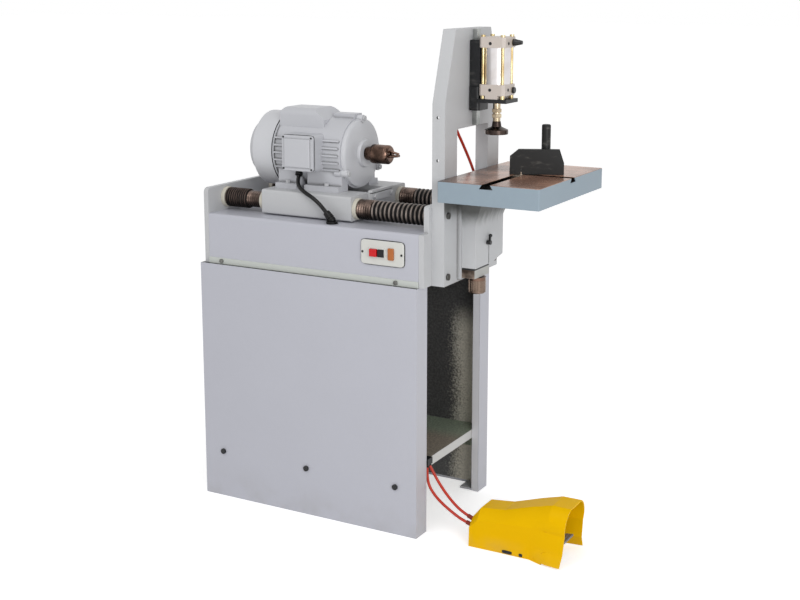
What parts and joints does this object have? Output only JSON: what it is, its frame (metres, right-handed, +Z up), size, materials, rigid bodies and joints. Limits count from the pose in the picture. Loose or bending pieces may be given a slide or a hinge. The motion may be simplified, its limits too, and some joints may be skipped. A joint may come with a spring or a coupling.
{
  "type": "horizontal boring machine",
  "caption": "Floor horizontal boring machine for wood: an air-fed motor carriage on guide bars, a portal column, a rising slotted table with a swivel fence, an air clamp and a foot pedal.",
  "frame": {"origin": "on the floor, at the centre of the four anchor holes in the stand's feet", "axes": "+X along the spindle from the motor towards the table, +Y to the machine's back, +Z up"},
  "size_m": [1.1215, 0.45, 1.356],
  "materials": {
    "panel_paint": "satin",
    "casting_paint": "satin paint",
    "table_iron": "ground top, painted sides",
    "motor_paint": "satin paint",
    "cover_paint": "satin",
    "bright_steel": "machined",
    "dark_steel": "semi-gloss",
    "cylinder_alloy": "satin",
    "gold_zinc": "yellow zinc",
    "cream_ring": "satin",
    "bellows_rubber": "matte",
    "hose_plastic": "smooth",
    "black_plastic": "matte",
    "red_plastic": "satin",
    "pedal_yellow": "gloss"
  },
  "bodies": {
    "frame": {"stand_front_panel": "panel_paint", "stand_rear_panel": "panel_paint", "stand_shelf": "panel_paint", "frame_screws": "dark_steel", "bed_box": "panel_paint", "left_end_plate": "casting_paint", "right_end_plate": "casting_paint", "guide_bars": "bright_steel", "plate_collars": "cream_ring", "left_bellows": "bellows_rubber", "right_bellows": "bellows_rubber", "feed_cylinder": "cylinder_alloy", "switch_plate": "cover_paint", "column": "casting_paint", "clamp_rail": "dark_steel", "elevating_bracket": "bright_steel", "clamp_hose": "hose_plastic", "line_fittings": "black_plastic", "motor_cable": "black_plastic", "pedal_base": "pedal_yellow", "pedal_guard": "pedal_yellow", "pedal_valve": "black_plastic", "pedal_hose_upper": "hose_plastic", "pedal_hose_lower": "hose_plastic"},
    "carriage": {"carriage": "casting_paint", "guide_bushings": "bright_steel", "carriage_collars": "cream_ring", "carriage_end_plate": "cover_paint", "feed_rod": "bright_steel", "motor_frame": "motor_paint", "drive_end_bell": "motor_paint", "fan_cover": "cover_paint", "capacitor_cover": "cover_paint", "terminal_box": "motor_paint", "terminal_cover": "motor_paint", "motor_bolts": "dark_steel", "motor_bearings": "bright_steel"},
    "spindle": {"rotor_shaft": "bright_steel", "cooling_fan": "black_plastic", "chuck_body": "bright_steel"},
    "chuck_sleeve": {"chuck_sleeve": "bright_steel"},
    "chuck_jaw_1": {"chuck_jaw_1": "bright_steel"},
    "chuck_jaw_2": {"chuck_jaw_2": "bright_steel"},
    "chuck_jaw_3": {"chuck_jaw_3": "bright_steel"},
    "knee": {"knee": "casting_paint", "table": "table_iron"},
    "lock_lever": {"lock_lever": "dark_steel"},
    "elevating_screw": {"elevating_screw": "bright_steel"},
    "fence_bar": {"fence_bar": "bright_steel"},
    "fence_head": {"fence_head": "dark_steel"},
    "fence_handle": {"fence_handle": "dark_steel"},
    "clamp_head": {"clamp_bracket": "dark_steel", "clamp_barrel": "cylinder_alloy", "clamp_caps": "cylinder_alloy", "clamp_hardware": "gold_zinc"},
    "clamp_rod": {"clamp_rod": "bright_steel", "clamp_pad": "dark_steel"},
    "stop_button": {"stop_button": "red_plastic"},
    "start_button": {"start_button": "black_plastic"},
    "treadle": {"treadle": "dark_steel"}
  },
  "joints": [
    {"name": "carriage_feed", "type": "slide", "parent": "frame", "child": "carriage", "axis": [1, 0, 0], "range_m": [0, 0.125], "deforming": ["left_bellows", "right_bellows", "motor_cable"]},
    {"name": "spindle_turn", "type": "hinge", "parent": "carriage", "child": "spindle", "pos_m": [0, 0, 1.004], "axis": [1, 0, 0], "continuous": true},
    {"name": "chuck_sleeve_turn", "type": "hinge", "parent": "spindle", "child": "chuck_sleeve", "pos_m": [0.12, 0, 1.004], "axis": [1, 0, 0], "range_deg": [0, 2880]},
    {"name": "jaw_1_slide", "type": "slide", "parent": "spindle", "child": "chuck_jaw_1", "axis": [-0.9781, 0, 0.2079], "range_m": [0, 0.012]},
    {"name": "jaw_2_slide", "type": "slide", "parent": "spindle", "child": "chuck_jaw_2", "axis": [-0.9781, -0.1801, -0.104], "range_m": [0, 0.012]},
    {"name": "jaw_3_slide", "type": "slide", "parent": "spindle", "child": "chuck_jaw_3", "axis": [-0.9781, 0.1801, -0.104], "range_m": [0, 0.012]},
    {"name": "knee_height", "type": "slide", "parent": "frame", "child": "knee", "axis": [0, 0, 1], "range_m": [0, 0.024]},
    {"name": "elevating_turn", "type": "hinge", "parent": "frame", "child": "elevating_screw", "pos_m": [0.436, -0.039, 0.7], "axis": [0, 0, 1], "range_deg": [0, 2880]},
    {"name": "lock_turn", "type": "hinge", "parent": "knee", "child": "lock_lever", "pos_m": [0.453, -0.016, 0.79], "axis": [1, 0, 0], "range_deg": [-60, 40]},
    {"name": "fence_slide", "type": "slide", "parent": "knee", "child": "fence_bar", "axis": [0, 1, 0], "range_m": [-0.17, 0.1]},
    {"name": "fence_swivel", "type": "hinge", "parent": "fence_bar", "child": "fence_head", "pos_m": [0.538, 0.008, 0.98], "axis": [0, 0, 1], "range_deg": [-45, 40]},
    {"name": "fence_handle_turn", "type": "hinge", "parent": "fence_head", "child": "fence_handle", "pos_m": [0.58761, 0.05541, 1.05], "axis": [0, 0, 1], "range_deg": [-360, 0]},
    {"name": "clamp_height", "type": "slide", "parent": "frame", "child": "clamp_head", "axis": [0, 0, 1], "range_m": [-0.025, 0.02]},
    {"name": "clamp_stroke", "type": "slide", "parent": "clamp_head", "child": "clamp_rod", "axis": [0, 0, -1], "range_m": [0, 0.05]},
    {"name": "stop_press", "type": "slide", "parent": "frame", "child": "stop_button", "axis": [0, 1, 0], "range_m": [0, 0.004], "stiffness_N_per_m": 600, "springref_m": -0.003},
    {"name": "start_press", "type": "slide", "parent": "frame", "child": "start_button", "axis": [0, 1, 0], "range_m": [0, 0.004], "stiffness_N_per_m": 600, "springref_m": -0.003},
    {"name": "treadle_press", "type": "hinge", "parent": "frame", "child": "treadle", "pos_m": [0.618, -0.132, 0.026], "axis": [0, 1, 0], "range_deg": [0, 9], "stiffness_Nm_per_rad": 15, "springref_deg": -8.59}
  ],
  "couplings": [
    {"joint": "jaw_1_slide", "follows": "chuck_sleeve_turn", "m_per_rad": 0.00023873},
    {"joint": "jaw_2_slide", "follows": "chuck_sleeve_turn", "m_per_rad": 0.00023873},
    {"joint": "jaw_3_slide", "follows": "chuck_sleeve_turn", "m_per_rad": 0.00023873},
    {"joint": "elevating_turn", "follows": "knee_height", "rad_per_m": 2094.4}
  ]
}
